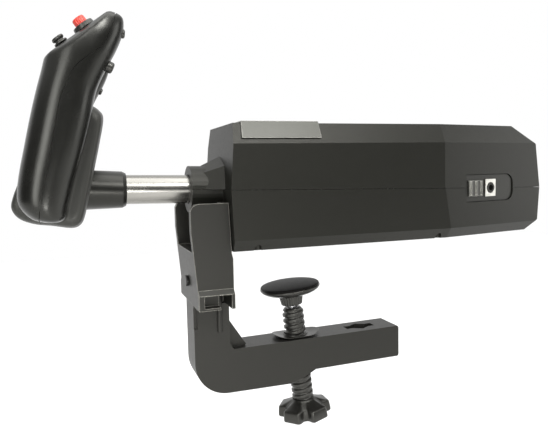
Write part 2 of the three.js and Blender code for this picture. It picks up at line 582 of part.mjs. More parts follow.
function armBody() {
  const a = arm;
  const shape = new THREE.Shape();
  shape.moveTo(-97.6, bracket.bottom - GAP);
  shape.lineTo(-97.6, -99);
  shape.absarc(-67.6, -99.5, 30, Math.PI, 1.5 * Math.PI, false);
  shape.lineTo(-8, a.bottom);
  shape.lineTo(6, -125.2);
  shape.lineTo(18, a.thin - 1.7);
  shape.lineTo(a.tip - 2, a.thin);
  shape.lineTo(a.tip, a.thin + 2);
  shape.lineTo(a.tip, a.top);
  shape.lineTo(a.tip - 2, a.top + 2);
  shape.lineTo(-62, a.top - 1.3);
  shape.lineTo(-65.5, -84);
  shape.lineTo(-65.5, bracket.bottom - GAP);
  const geometry = new THREE.ExtrudeGeometry(shape, { depth: 2 * a.half, bevelEnabled: false, curveSegments: 8 });
  geometry.rotateX(Math.PI / 2);
  geometry.translate(0, a.half, 0);
  const tenon = solid(block(-95, -72, -13, 13, bracket.bottom - 6, -10));
  const web = solid(slab([[-48.5, a.top + 0.4], [-63.5, -65], [-66, -59], [-66, a.top - 2], [-50, a.top - 2]], -a.web, a.web));
  const ribs = [-1, 1].map((side) => solid(post(-72, -35, 2.4, -74.5, side * (a.half + 0.6), 16)));
  const groove = solid(block(-120, -94.5, -a.half - 5, -a.half + 1.6, -68, -49));
  const boltHole = solid(bar(-110, -80, 3.1, 0, boltZ, 16));
  const screwHole = solid(fromScrew(post(-120, 0, screw.radius + 0.6, 0, 0, 32)));
  const spare = join(solid(post(-140, -80, 9.5, 72, 0, 6)), solid(block(57, 87, -4.5, 4.5, -140, -80)));
  const corners = [-1, 1].map((side) => {
    const wedge = solid(block(-12, 12, -12, 12, -140, -80));
    return wedge.rotate([0, 0, 45]).translate([a.tip + 8, side * (a.half + 8), 0]);
  });
  return cut(join(solid(geometry), tenon, web, ...ribs), groove, boltHole, screwHole, spare, ...corners);
}

function nutPlate() {
  const shape = new THREE.Shape();
  shape.absarc(-8, 0, 14.5, Math.PI / 2, 1.5 * Math.PI, false);
  shape.absarc(8, 0, 14.5, -Math.PI / 2, Math.PI / 2, false);
  const geometry = new THREE.ExtrudeGeometry(shape, { depth: 3, bevelEnabled: false, curveSegments: 10 });
  geometry.rotateY(-arm.slope);
  geometry.translate(4, 0, arm.top + GAP);
  return solid(geometry).subtract(solid(fromScrew(post(-120, 0, screw.radius + 0.6, 0, 0, 32))));
}

// Star knob: five lobes round a circle.
function knobShape(scale) {
  const shape = new THREE.Shape();
  const steps = 50;
  for (let i = 0; i < steps; i += 1) {
    const angle = (2 * Math.PI * i) / steps;
    const radius = scale * (20.4 + 4.4 * Math.cos(5 * angle));
    if (i === 0) shape.moveTo(radius, 0);
    else shape.lineTo(radius * Math.cos(angle), radius * Math.sin(angle));
  }
  return shape;
}

function knobBody() {
  const layers = [[-120.5, 0.9], [-119, 1], [-108.5, 1], [-101.5, 0.43]];
  const rings = layers.map(([z, scale]) => knobShape(scale).getPoints().map((p) => new THREE.Vector3(p.x, p.y, z)));
  return solid(loft(rings));
}

function buildClamp() {
  place(object, 'clamp_bracket', bracketBody(), clampBlack);
  place(object, 'clamp_arm', armBody(), clampBlack);
  place(object, 'nut_plate', nutPlate(), clampBlack);
  const bolt = join(solid(bar(-101, -98.5, 5, 0, boltZ, 20)), solid(bar(-98.6, -81, 2.7, 0, boltZ, 12)));
  place(object, 'arm_bolt', bolt, steel);
  [-20, 20].forEach((y, i) => {
    const shape = join(solid(bar(-77.5, -74.3, 4, y, 25, 16)), solid(bar(-74.5, -65, 2, y, 25, 12)));
    place(object, `bracket_screw_${i + 1}`, shape, steel);
  });

  const screwFrame = new THREE.Group();
  screwFrame.position.z = screw.pivotZ;
  screwFrame.rotation.y = -screw.lean;
  object.add(screwFrame);
  const rodTop = -11;
  const rodEnd = -101.2;
  const rod = solid(post(rodEnd, rodTop, screw.radius, 0, 0, 28));
  place(screwFrame, 'clamp_rod', rod.subtract(solid(post(-26, 0, 4.4, 0, 0, 16))), clampBlack);
  place(screwFrame, 'clamp_knob', knobBody(), clampBlack);
  const ball = join(solid(new THREE.SphereGeometry(6, 16, 8)), solid(post(-24, -3, 3.9, 0, 0, 16)));
  place(screwFrame, 'swivel_ball', ball, steel);

  const outline = [[0, 10.2], [27.6, 10.2], [28.5, 9.2], [28, 7], [23, 3], [16, 0], [11, -3.2], [9.8, -7.4], [0, -7.4]];
  const padBody = new THREE.LatheGeometry(outline.reverse().map(([x, y]) => new THREE.Vector2(x, y)), 40);
  padBody.rotateX(Math.PI / 2);
  const throat = solid(post(-12, -3, 6, 0, 0, 16, 5));
  const dome = solid(new THREE.SphereGeometry(6.4, 16, 8));
  place(screwFrame, 'clamp_pad', cut(solid(padBody), throat, dome), clampBlack);
  const cap = join(solid(post(10.5, 12.5, 27, 0, 0, 40)), solid(post(12.4, 13.8, 27, 0, 0, 40, 24.5)));
  place(screwFrame, 'pad_cap', cap, rubber);
}

buildHousing();
buildPocket();
buildSlideUnit();
buildYoke();
buildClamp();

export default object;
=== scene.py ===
# Looks for the desktop flight yoke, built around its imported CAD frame. Metres, in the same frame.
import json
import math

import bmesh
import bpy
from mathutils import Matrix, Vector

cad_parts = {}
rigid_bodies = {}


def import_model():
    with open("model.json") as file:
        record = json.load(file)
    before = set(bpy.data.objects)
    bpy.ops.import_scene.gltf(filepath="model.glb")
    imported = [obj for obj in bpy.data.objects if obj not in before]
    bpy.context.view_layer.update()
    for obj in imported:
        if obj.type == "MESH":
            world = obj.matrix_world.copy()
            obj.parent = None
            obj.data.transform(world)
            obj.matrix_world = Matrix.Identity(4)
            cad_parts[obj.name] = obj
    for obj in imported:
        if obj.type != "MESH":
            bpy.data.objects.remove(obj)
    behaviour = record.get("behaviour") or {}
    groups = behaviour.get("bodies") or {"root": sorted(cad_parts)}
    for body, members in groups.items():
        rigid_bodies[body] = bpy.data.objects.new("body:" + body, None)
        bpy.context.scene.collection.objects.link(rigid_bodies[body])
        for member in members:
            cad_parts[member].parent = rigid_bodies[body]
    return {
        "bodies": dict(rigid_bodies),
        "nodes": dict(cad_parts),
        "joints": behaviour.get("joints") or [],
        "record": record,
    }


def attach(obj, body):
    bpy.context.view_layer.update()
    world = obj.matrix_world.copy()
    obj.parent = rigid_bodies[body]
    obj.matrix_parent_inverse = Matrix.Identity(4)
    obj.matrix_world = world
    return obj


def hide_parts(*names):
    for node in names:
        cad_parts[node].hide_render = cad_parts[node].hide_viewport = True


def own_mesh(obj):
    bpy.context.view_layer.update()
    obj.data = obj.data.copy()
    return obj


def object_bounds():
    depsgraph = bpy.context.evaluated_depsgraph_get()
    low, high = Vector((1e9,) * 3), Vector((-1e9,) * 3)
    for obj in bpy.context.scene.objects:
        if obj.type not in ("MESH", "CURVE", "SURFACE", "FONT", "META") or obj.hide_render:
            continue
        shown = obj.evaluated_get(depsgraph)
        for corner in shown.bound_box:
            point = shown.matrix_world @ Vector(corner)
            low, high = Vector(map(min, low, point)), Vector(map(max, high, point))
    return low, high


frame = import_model()
cad_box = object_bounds()
nodes = frame["nodes"]
MM = 0.001

joints = {joint["name"]: joint for joint in frame["joints"]}
SHAFT_AXIS = Vector(joints["roll_turn"]["axis"]).normalized()
SHAFT_ORIGIN = Vector(joints["roll_turn"]["pos_m"])
SHAFT_TILT = math.atan2(-SHAFT_AXIS.z, SHAFT_AXIS.x)
# From the shaft frame (X along the shaft, origin in the yoke) to the part's frame.
SHAFT = Matrix.Translation(SHAFT_ORIGIN) @ Matrix.Rotation(SHAFT_TILT, 4, "Y")


# ---- Camera, light and floor -----------------------------------------------------------------

# The camera, in the shaft frame.
CAMERA_PLACE = (0, -0.514, 0.0127)
CAMERA_YAW = math.radians(19.2)
CAMERA_PITCH = math.radians(4.2)
CAMERA_LENS = 38.2
MIDDLE = (0.02, 0, 0.02)
OPEN_SPREAD = 180
# Name, place, target, size, watts and spread in degrees.
LIGHTS = [
    ("top_light", (0.0, -0.2, 1.0), MIDDLE, (1.2, 0.7), 7.5, OPEN_SPREAD),
    ("left_light", (-0.74, -0.98, 0.2), (-0.19, -0.08, 0.07), (0.42, 0.9), 1.25, 70),
    ("grip_light", (0.27, -0.88, 0.79), (-0.16, -0.09, 0.16), (0.3, 0.3), 0.9, 60),
    ("front_light", (-0.12, -0.85, 0.66), (-0.05, 0, 0.05), (0.5, 0.2), 1.6, OPEN_SPREAD),
    ("right_light", (1.15, -0.35, 0.25), MIDDLE, (0.5, 0.8), 3.6, OPEN_SPREAD),
    ("low_light", (-0.12, -0.72, -0.13), (-0.2, -0.08, 0.04), (0.12, 0.12), 0.9, OPEN_SPREAD),
]
ROOM_LEVEL = 0.07
OVERHEAD_LEVEL = 1.45
BACKDROP_LEVEL = 1.1
FLOOR_DROP = 0.09
FLOOR_HALF = 1.9


def aim(obj, target):
    direction = Vector(target) - obj.location
    obj.rotation_euler = direction.to_track_quat("-Z", "Y").to_euler()


def make_camera():
    data = bpy.data.cameras.new("camera")
    data.sensor_width = 36
    data.lens = CAMERA_LENS
    camera = bpy.data.objects.new("camera", data)
    bpy.context.scene.collection.objects.link(camera)
    turn = Matrix.Rotation(-CAMERA_YAW, 4, "Z") @ Matrix.Rotation(math.pi / 2 - CAMERA_PITCH, 4, "X")
    camera.matrix_world = SHAFT @ Matrix.Translation(CAMERA_PLACE) @ turn
    bpy.context.scene.camera = camera


def area_light(name, place, target, size, power, spread):
    data = bpy.data.lights.new(name, "AREA")
    data.spread = math.radians(spread)
    data.shape = "RECTANGLE"
    data.size, data.size_y = size
    data.energy = power
    light = bpy.data.objects.new(name, data)
    light.location = place
    light.visible_camera = False
    bpy.context.scene.collection.objects.link(light)
    aim(light, target)


def make_light():
    for entry in LIGHTS:
        area_light(*entry)
    world = bpy.data.worlds.new("studio")
    world.use_nodes = True
    tree = world.node_tree
    tree.nodes.clear()
    out = tree.nodes.new("ShaderNodeOutputWorld")
    mix = tree.nodes.new("ShaderNodeMixShader")
    path = tree.nodes.new("ShaderNodeLightPath")
    fill = tree.nodes.new("ShaderNodeBackground")
    seen = tree.nodes.new("ShaderNodeBackground")
    coords = tree.nodes.new("ShaderNodeTexCoord")
    split = tree.nodes.new("ShaderNodeSeparateXYZ")
    tree.links.new(coords.outputs["Generated"], split.inputs["Vector"])
    # Bright behind the part and overhead, and a dim room on the camera's side.
    either = tree.nodes.new("ShaderNodeMath")
    either.operation = "MAXIMUM"
    tree.links.new(ramp(tree, split.outputs["Z"], 0.25, 0.75, ROOM_LEVEL, OVERHEAD_LEVEL),
                   either.inputs[0])
    tree.links.new(ramp(tree, split.outputs["Y"], 0.15, 0.6, 0.0, BACKDROP_LEVEL), either.inputs[1])
    tree.links.new(either.outputs[0], fill.inputs["Strength"])
    seen.inputs["Strength"].default_value = 1.0
    fill.inputs["Color"].default_value = (1, 1, 1, 1)
    seen.inputs["Color"].default_value = (1, 1, 1, 1)
    tree.links.new(path.outputs["Is Camera Ray"], mix.inputs["Fac"])
    tree.links.new(fill.outputs[0], mix.inputs[1])
    tree.links.new(seen.outputs[0], mix.inputs[2])
    tree.links.new(mix.outputs[0], out.inputs["Surface"])
    bpy.context.scene.world = world
    bpy.context.scene.view_settings.view_transform = "Standard"


def make_floor():
    level = cad_box[0][2] - FLOOR_DROP
    size = FLOOR_HALF
    mesh = bpy.data.meshes.new("floor")
    corners = [(-size, -size, level), (size, -size, level), (size, size, level), (-size, size, level)]
    mesh.from_pydata(corners, [], [(0, 1, 2, 3)])
    floor = bpy.data.objects.new("floor", mesh)
    bpy.context.scene.collection.objects.link(floor)
    mesh.materials.append(plain("floor_white", (0.9, 0.9, 0.895), 0.9))


# ---- Materials -------------------------------------------------------------------------------

def new_material(name):
    material = bpy.data.materials.new(name)
    material.use_nodes = True
    tree = material.node_tree
    return material, tree, tree.nodes["Principled BSDF"]


def plain(name, color, roughness):
    material, _, shader = new_material(name)
    shader.inputs["Base Color"].default_value = (*color, 1)
    shader.inputs["Roughness"].default_value = roughness
    return material


NOISE_ROUGHNESS = 0.55
EDGE_REACH = 0.0007  # how far the paler edges, partly rubbed wear and partly painted edge highlights, reach from an edge, in metres


def noise(tree, scale, detail=3.0, stretch=None):
    coords = tree.nodes.new("ShaderNodeTexCoord")
    texture = tree.nodes.new("ShaderNodeTexNoise")
    texture.inputs["Scale"].default_value = scale
    texture.inputs["Detail"].default_value = detail
    texture.inputs["Roughness"].default_value = NOISE_ROUGHNESS
    source = coords.outputs["Object"]
    if stretch:
        mapping = tree.nodes.new("ShaderNodeMapping")
        mapping.inputs["Scale"].default_value = stretch
        tree.links.new(source, mapping.inputs["Vector"])
        source = mapping.outputs["Vector"]
    tree.links.new(source, texture.inputs["Vector"])
    return texture.outputs["Fac"]


def ramp(tree, value, low, high, out_low=0.0, out_high=1.0):
    node = tree.nodes.new("ShaderNodeMapRange")
    node.inputs["From Min"].default_value = low
    node.inputs["From Max"].default_value = high
    node.inputs["To Min"].default_value = out_low
    node.inputs["To Max"].default_value = out_high
    tree.links.new(value, node.inputs["Value"])
    return node.outputs["Result"]


def blend_color(tree, factor, first, second):
    node = tree.nodes.new("ShaderNodeMix")
    node.data_type = "RGBA"
    for socket, value in ((node.inputs[6], first), (node.inputs[7], second)):
        if isinstance(value, tuple):
            socket.default_value = (*value, 1)
        else:
            tree.links.new(value, socket)
    tree.links.new(factor, node.inputs[0])
    return node.outputs[2]


def bump(tree, height, distance, strength=1.0, under=None):
    node = tree.nodes.new("ShaderNodeBump")
    node.inputs["Strength"].default_value = strength
    node.inputs["Distance"].default_value = distance
    tree.links.new(height, node.inputs["Height"])
    if under is not None:
        tree.links.new(under, node.inputs["Normal"])
    return node.outputs["Normal"]


def edge_wear_and_highlight_mask(tree, radius=EDGE_REACH):
    """1 along edges, where a rounded normal leaves the face's own: the mask for rubbed wear and for painted
    edge highlights.
    """
    geometry = tree.nodes.new("ShaderNodeNewGeometry")
    rounded = tree.nodes.new("ShaderNodeBevel")
    rounded.samples = 4
    rounded.inputs["Radius"].default_value = radius
    dot = tree.nodes.new("ShaderNodeVectorMath")
    dot.operation = "DOT_PRODUCT"
    tree.links.new(geometry.outputs["True Normal"], dot.inputs[0])
    tree.links.new(rounded.outputs["Normal"], dot.inputs[1])
    return ramp(tree, dot.outputs["Value"], 0.995, 0.93)


def moulded_plastic(name, color, roughness, grain=0.00004, grain_scale=2600, wear_and_highlight_strength=0.35, specular=0.5,
                    wear_and_highlight_color=None, edge=EDGE_REACH):
    """Moulded plastic: fine spark-eroded grain, faint mottling, and edges painted paler, partly as rubbed
    wear and partly as a painted edge highlight.
    """
    material, tree, shader = new_material(name)
    light = tuple(min(1, c * 1.06) for c in color)
    wear_and_highlight_color = wear_and_highlight_color or tuple(min(1, c * 1.9 + 0.02) for c in color)
    mottle = ramp(tree, noise(tree, 420, 5), 0.3, 0.7)
    base = blend_color(tree, mottle, color, light)
    # Paler edges: partly rubbed wear and partly a painted highlight where light would catch them.
    wear_and_highlight_amount = tree.nodes.new("ShaderNodeMath")
    wear_and_highlight_amount.operation = "MULTIPLY"
    tree.links.new(edge_wear_and_highlight_mask(tree, edge), wear_and_highlight_amount.inputs[0])
    tree.links.new(ramp(tree, noise(tree, 220, 4), 0.35, 0.6, wear_and_highlight_strength * 0.4, wear_and_highlight_strength), wear_and_highlight_amount.inputs[1])
    tree.links.new(blend_color(tree, wear_and_highlight_amount.outputs[0], base, wear_and_highlight_color), shader.inputs["Base Color"])
    tree.links.new(ramp(tree, noise(tree, 260, 5), 0.3, 0.7, roughness - 0.02, roughness + 0.02),
                   shader.inputs["Roughness"])
    fine = bump(tree, noise(tree, grain_scale, 2), grain)
    coarse = bump(tree, noise(tree, grain_scale / 9, 3), grain * 1.5, 0.6, fine)
    tree.links.new(coarse, shader.inputs["Normal"])
    shader.inputs["Specular IOR Level"].default_value = specular
    shader.inputs["Specular Tint"].default_value = (1, 0.99, 0.91, 1)
    return material


def grip_plastic():
    """Near-black grip moulding: semi-glossy on the horns, fine-grained and duller on the hub."""
    material, tree, shader = new_material("grip_plastic")
    coords = tree.nodes.new("ShaderNodeTexCoord")
    split = tree.nodes.new("ShaderNodeSeparateXYZ")
    tree.links.new(coords.outputs["Object"], split.inputs["Vector"])
    aside = tree.nodes.new("ShaderNodeMath")
    aside.operation = "ABSOLUTE"
    tree.links.new(split.outputs["Y"], aside.inputs[0])
    on_horn = ramp(tree, aside.outputs[0], 0.0765, 0.0775)
    base = blend_color(tree, on_horn, (0.017, 0.017, 0.015), (0.0055, 0.0055, 0.0048))
    wear_and_highlight_amount = ramp(tree, noise(tree, 160, 4), 0.45, 0.65, 0, 0.12)
    scuff = tree.nodes.new("ShaderNodeMath")
    scuff.operation = "MULTIPLY"
    tree.links.new(edge_wear_and_highlight_mask(tree), scuff.inputs[0])
    tree.links.new(wear_and_highlight_amount, scuff.inputs[1])
    scuffed = blend_color(tree, scuff.outputs[0], base, (0.05, 0.05, 0.045))
    tree.links.new(scuffed, shader.inputs["Base Color"])
    dull = ramp(tree, on_horn, 0, 1, 0.5, 0.25)
    smear = tree.nodes.new("ShaderNodeMath")
    smear.operation = "ADD"
    tree.links.new(dull, smear.inputs[0])
    tree.links.new(ramp(tree, noise(tree, 70, 5), 0.3, 0.7, -0.02, 0.03), smear.inputs[1])
    tree.links.new(smear.outputs[0], shader.inputs["Roughness"])
    depth = ramp(tree, on_horn, 0, 1, 1.0, 0.12)
    grain = tree.nodes.new("ShaderNodeMath")
    grain.operation = "MULTIPLY"
    tree.links.new(noise(tree, 2200, 2), grain.inputs[0])
    tree.links.new(depth, grain.inputs[1])
    tree.links.new(bump(tree, grain.outputs[0], 0.00006), shader.inputs["Normal"])
    shader.inputs["Specular IOR Level"].default_value = 0.42
    shader.inputs["Specular Tint"].default_value = (1, 1, 0.93, 1)
    return material


def metal(name, color, roughness, stretch=(1, 1, 1), scale=900, depth=0.000004, darkest_line_and_reflection_band=0.86):
    """Metal with fine drawn or turned lines and a little haze; on the chrome tube the darker streaks along
    the shaft are painted reflection bands.
    """
    material, tree, shader = new_material(name)
    shader.inputs["Metallic"].default_value = 1
    # Darker streaks: drawn lines, and on the chrome tube painted reflection bands.
    lines_and_reflection_bands = noise(tree, scale, 4, stretch)
    line_and_reflection_band_color = tuple(c * darkest_line_and_reflection_band for c in color)
    tree.links.new(blend_color(tree, ramp(tree, lines_and_reflection_bands, 0.3, 0.7), line_and_reflection_band_color, color), shader.inputs["Base Color"])
    haze = noise(tree, 60, 5)
    tree.links.new(ramp(tree, haze, 0.35, 0.7, roughness, roughness + 0.08), shader.inputs["Roughness"])
    tree.links.new(bump(tree, lines_and_reflection_bands, depth), shader.inputs["Normal"])
    return material


def make_materials():
    along_shaft = (0.03, 1, 1)
    return {
        "housing_plastic": moulded_plastic("housing_plastic", (0.0070, 0.0070, 0.0055), 0.42, wear_and_highlight_strength=0.15,
                                           specular=0.28),
        # The top panel's pale edges are a painted highlight along its lower lip.
        "top_panel_plastic": moulded_plastic("top_panel_plastic", (0.06, 0.061, 0.054), 0.38, grain=0.00003,
                                             specular=0.35, wear_and_highlight_strength=0.9, wear_and_highlight_color=(0.5, 0.49, 0.45)),
        "grip_plastic": grip_plastic(),
        "button_plastic": moulded_plastic("button_plastic", (0.012, 0.012, 0.011), 0.34, grain=0.00001,
                                          wear_and_highlight_strength=0.3),
        "red_button_plastic": moulded_plastic("red_button_plastic", (0.52, 0.035, 0.022), 0.32, grain=0.00001,
                                              wear_and_highlight_strength=0.1),
        "panel_plastic": moulded_plastic("panel_plastic", (0.011, 0.011, 0.0095), 0.42, specular=0.35),
        "collar": moulded_plastic("collar_plastic", (0.007, 0.007, 0.006), 0.3, grain=0.000003, wear_and_highlight_strength=0.3,
                                  specular=0.36),
        "knob": moulded_plastic("knob_plastic", (0.008, 0.0077, 0.0068), 0.30, grain=0.00002, wear_and_highlight_strength=0.8),
        "slider": moulded_plastic("slider_plastic", (0.03, 0.03, 0.027), 0.35, wear_and_highlight_strength=1.0,
                                  wear_and_highlight_color=(0.75, 0.74, 0.66), edge=0.00028),
        # The bracket's bright pale edges are a painted highlight along its lit cheek edges.
        "bracket": moulded_plastic("bracket_plastic", (0.0100, 0.0097, 0.0085), 0.43, wear_and_highlight_strength=1.0, grain=0.00004,
                                   grain_scale=1900, specular=0.36, wear_and_highlight_color=(0.34, 0.33, 0.29)),
        "clamp_plastic": moulded_plastic("clamp_plastic", (0.0100, 0.0097, 0.0085), 0.43, wear_and_highlight_strength=0.6,
                                         grain=0.00004, grain_scale=1900, specular=0.36),
        "clamp_screw_plastic": moulded_plastic("clamp_screw_plastic", (0.016, 0.0155, 0.014), 0.33,
                                               grain=0.00002),
        "rubber": moulded_plastic("rubber", (0.014, 0.014, 0.013), 0.7, grain=0.00006, wear_and_highlight_strength=0.2,
                                  specular=0.3),
        "pad_rubber": moulded_plastic("pad_rubber", (0.0045, 0.0043, 0.004), 0.46, grain=0.00002, wear_and_highlight_strength=0.2,
                                      specular=0.1),
        # The chrome tube's dark streaks along the shaft are painted reflection bands.
        "chrome_tube": metal("chrome_tube", (0.31, 0.302, 0.278), 0.20, along_shaft, 230, 0.0000015, 0.62),
        "bright_steel": metal("bright_steel", (0.6, 0.6, 0.61), 0.25, (1, 0.05, 1)),
        "screw_steel": metal("screw_steel", (0.05, 0.05, 0.048), 0.4, (1, 1, 0.1)),
        "zinc_plate": metal("zinc_plate", (0.66, 0.65, 0.6), 0.34, (0.04, 1, 1), 1200, 0.000006),
        "bearing_plastic": moulded_plastic("bearing_plastic", (0.68, 0.66, 0.58), 0.45, wear_and_highlight_strength=0.1),
        "circuit_board": moulded_plastic("circuit_board", (0.02, 0.13, 0.05), 0.35, wear_and_highlight_strength=0.1),
    }


# ---- Carried-over CAD nodes --------------------------------------------------------------------

SLOTS = {entry["node"]: entry["material_slot"] for entry in frame["record"]["subparts"]}
EDGE_WIDTH = {"upper_housing": 0.9, "lower_housing": 0.9, "clamp_bracket": 1.0, "clamp_arm": 1.6,
              "top_panel": 0.5}
SMALL_EDGE = 0.25
WELD_GAP = 0.00002
# Nodes whose finish differs from their slot's.
FINISH = {"mode_slider": "slider", "shaft_collar": "collar", "clamp_bracket": "bracket"}
EDGE_ANGLE = {"upper_housing": 8, "lower_housing": 8}


def dress(node, materials):
    """Gives a CAD node its finish, and rounds its edges without touching its mesh."""
    obj = nodes[node]
    obj.data.materials.clear()
    obj.data.materials.append(materials[FINISH.get(node, SLOTS[node])])
    obj.data.shade_smooth()
    weld = obj.modifiers.new("weld", "WELD")
    weld.merge_threshold = WELD_GAP
    edge = obj.modifiers.new("edge", "BEVEL")
    edge.width = EDGE_WIDTH.get(node, SMALL_EDGE) * MM
    edge.segments = 2
    edge.limit_method = "ANGLE"
    edge.angle_limit = math.radians(EDGE_ANGLE.get(node, 26))
    edge.harden_normals = False
    shading = obj.modifiers.new("shading", "WEIGHTED_NORMAL")
    shading.keep_sharp = True
    shading.weight = 80


# ---- Detailed pieces ---------------------------------------------------------------------------

def smooth_line(points, steps, closed=False):
    """Catmull-Rom curve through points of any dimension."""
    count = len(points)
    line = []
    for i in range(count if closed else count - 1):
        if closed:
            near = [points[(i + k) % count] for k in (-1, 0, 1, 2)]
        else:
            near = [points[min(max(i + k, 0), count - 1)] for k in (-1, 0, 1, 2)]
        for step in range(steps):
            t = step / steps
            line.append(tuple(0.5 * (2 * b + (c - a) * t + (2 * a - 5 * b + 4 * c - d) * t * t
                                     + (3 * b - a - 3 * c + d) * t ** 3) for a, b, c, d in zip(*near)))
    if not closed:
        line.append(tuple(points[-1]))
    return line


def make_object(name, bm, place):
    """Turns a bmesh in millimetres into an object placed in the part's frame."""
    bmesh.ops.recalc_face_normals(bm, faces=bm.faces)
    mesh = bpy.data.meshes.new(name)
    bm.to_mesh(mesh)
    bm.free()
    mesh.transform(place @ Matrix.Scale(MM, 4))
    obj = bpy.data.objects.new(name, mesh)
    bpy.context.scene.collection.objects.link(obj)
    return obj


def skin(rings, bm=None):
    """Closed skin over rings of as many points each, with a cap at both ends."""
    bm = bm or bmesh.new()
    rows = [[bm.verts.new(point) for point in ring] for ring in rings]
    count = len(rows[0])
    for low, high in zip(rows, rows[1:]):
        for i in range(count):
            j = (i + 1) % count
            bm.faces.new((low[i], low[j], high[j], high[i]))
    bm.faces.new(rows[0][::-1])
    bm.faces.new(rows[-1])
    return bm


def turned(rows, count, radius=None):
    """Rings round Z from (radius, height) rows. `radius` may reshape them by angle."""
    rings = []
    for index, (reach, height) in enumerate(rows):
        ring = []
        for i in range(count):
            angle = 2 * math.pi * i / count
            r = radius(index, reach, height, angle) if radius else reach
            ring.append((r * math.cos(angle), r * math.sin(angle), height))
        rings.append(ring)
    return rings


def settle(obj):
    """Applies an object's modifiers."""
    shape = obj.evaluated_get(bpy.context.evaluated_depsgraph_get())
    mesh = bpy.data.meshes.new_from_object(shape)
    obj.modifiers.clear()
    obj.data = mesh
    return obj


def boolean(obj, tool, operation):
    change = obj.modifiers.new("cut", "BOOLEAN")
    change.operation = operation
    change.solver = "MANIFOLD"
    change.object = tool
    settle(obj)


def finish_piece(obj, node, body, material, sharp=35):
    """Shades a piece, gives it its finish, and lets it stand for a CAD node on its body."""
    obj.data.materials.clear()
    obj.data.materials.append(material)
    obj.data.shade_smooth()
    obj.data.set_sharp_from_angle(angle=math.radians(sharp))
    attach(obj, body)
    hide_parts(node)
    return obj


# The grip, in millimetres in the shaft frame.
HORN_Y = 85
HORN_HALF = 17
# Height, face towards the pilot, face away from the pilot, and share of the full width.
HORN_STATIONS = [
    (-20, -18, -8, 0.55), (-17.5, -26, -4, 0.82), (-11, -32.5, -3, 0.96), (-3, -35, -1, 1), (12, -33.5, 3, 1),
    (32, -29.5, 9, 1), (52, -25.3, 14, 1), (70, -21, 18, 1), (84, -17.2, 24, 1), (98, -14, 31.5, 0.98),
    (110, -11, 36.5, 0.91), (118, -8, 37.6, 0.80), (122.5, -4, 36.8, 0.68), (125, 4, 33, 0.5),
]
# The sloping face for the thumb, as (x, z).
THUMB_LOW = (-11.5, 94.4)
THUMB_HIGH = (24, 122.7)
THUMB_MIDDLE = (6.25, 108.55)
THUMB_ANGLE = math.atan2(THUMB_HIGH[1] - THUMB_LOW[1], THUMB_HIGH[0] - THUMB_LOW[0])
HUB_OUTLINE = [
    (-14, -26.5), (-27, -24.8), (-37.5, -20.5), (-42.5, -13), (-41, -4), (-36.5, 8), (-31.5, 24), (-27, 41),
    (-21.5, 54), (-12, 63), (2, 67), (15, 66.5), (22.5, 62), (25, 55.5), (21.5, 36), (17.5, 17), (13, -4),
    (9.8, -19), (6.5, -26), (0, -28.6),
]
HUB_STATIONS = [(-77, 0.78), (-76.6, 0.84), (-75, 0.89), (-71.5, 0.92), (-63, 0.94), (-36, 1), (0, 1.005),
                (36, 1), (63, 0.94), (71.5, 0.92), (75, 0.89), (76.6, 0.84), (77, 0.78)]
YOKE_SEAM = [
    (-22.5, -45), (-20.1, -11.2), (-13.9, 19.6), (-6.1, 60.6), (-1.8, 72.1), (4.5, 84.7), (17.2, 95.6),
    (22.4, 100.2), (28.4, 113.1), (32, 125.5), (34, 140),
]
SEAM_GAP = 0.55
LIP_HALF = 2
LIP_DEPTH = 0.9
PAST_GRIP = 130
FUSE_VOXEL = 1.15


def horn_mesh(side):
    rings = []
    for z, front, back, share in smooth_line(HORN_STATIONS, 5):
        ring = []
        for i in range(56):
            angle = 2 * math.pi * i / 56
            across = math.copysign(abs(math.cos(angle)) ** 0.94, math.cos(angle))
            aside = math.copysign(abs(math.sin(angle)) ** 0.94, math.sin(angle))
            x = (front + back) / 2 + (back - front) / 2 * across
            ring.append((x, side * HORN_Y + HORN_HALF * share * aside, z))
        rings.append(ring)
    bm = skin(rings)
    # The thumb face, and the slope at each side that crowns it.
    up = Vector((-math.sin(THUMB_ANGLE), 0, math.cos(THUMB_ANGLE)))
    planes = [((THUMB_LOW[0], 0, THUMB_LOW[1]), up)]
    for edge in (-1, 1):
        start = Vector((THUMB_LOW[0], side * HORN_Y + edge * 9, THUMB_LOW[1]))
        along = Vector((math.cos(THUMB_ANGLE), 0, math.sin(THUMB_ANGLE)))
        down = Vector((0, edge * 9, -5.6))
        normal = along.cross(down) * -edge
        planes.append((start, normal if normal.z > 0 else -normal))
    for point, normal in planes:
        everything = bm.verts[:] + bm.edges[:] + bm.faces[:]
        bmesh.ops.bisect_plane(bm, geom=everything, plane_co=point, plane_no=normal, clear_outer=True)
        bmesh.ops.holes_fill(bm, edges=[edge for edge in bm.edges if edge.is_boundary])
    return bm


def hub_mesh():
    outline = smooth_line(HUB_OUTLINE, 5, closed=True)
    centre = (-10, 15)
    rings = []
    for y, share in smooth_line(HUB_STATIONS, 4):
        rings.append([(centre[0] + (x - centre[0]) * share, y, centre[1] + (z - centre[1]) * share)
                      for x, z in outline])
    return skin(rings)


def yoke_body():
    """Both horns and the hub fused into one smooth moulding."""
    body = make_object("yoke_body", hub_mesh(), SHAFT)
    for side in (-1, 1):
        other = make_object("horn_part", horn_mesh(side), SHAFT)
        boolean(body, other, "UNION")
        bpy.data.objects.remove(other)
    fuse = body.modifiers.new("fuse", "REMESH")
    fuse.mode = "VOXEL"
    fuse.voxel_size = FUSE_VOXEL * MM
    soften = body.modifiers.new("soften", "SMOOTH")
    soften.factor = 0.5
    soften.iterations = 7
    return settle(body)


def rod_tool(bm, place, start, end, radius, count=32):
    """A round cutter along Z of `place`, from start to end, in millimetres."""
    skin(placed(turned([(radius, start), (radius, end)], count), place), bm)


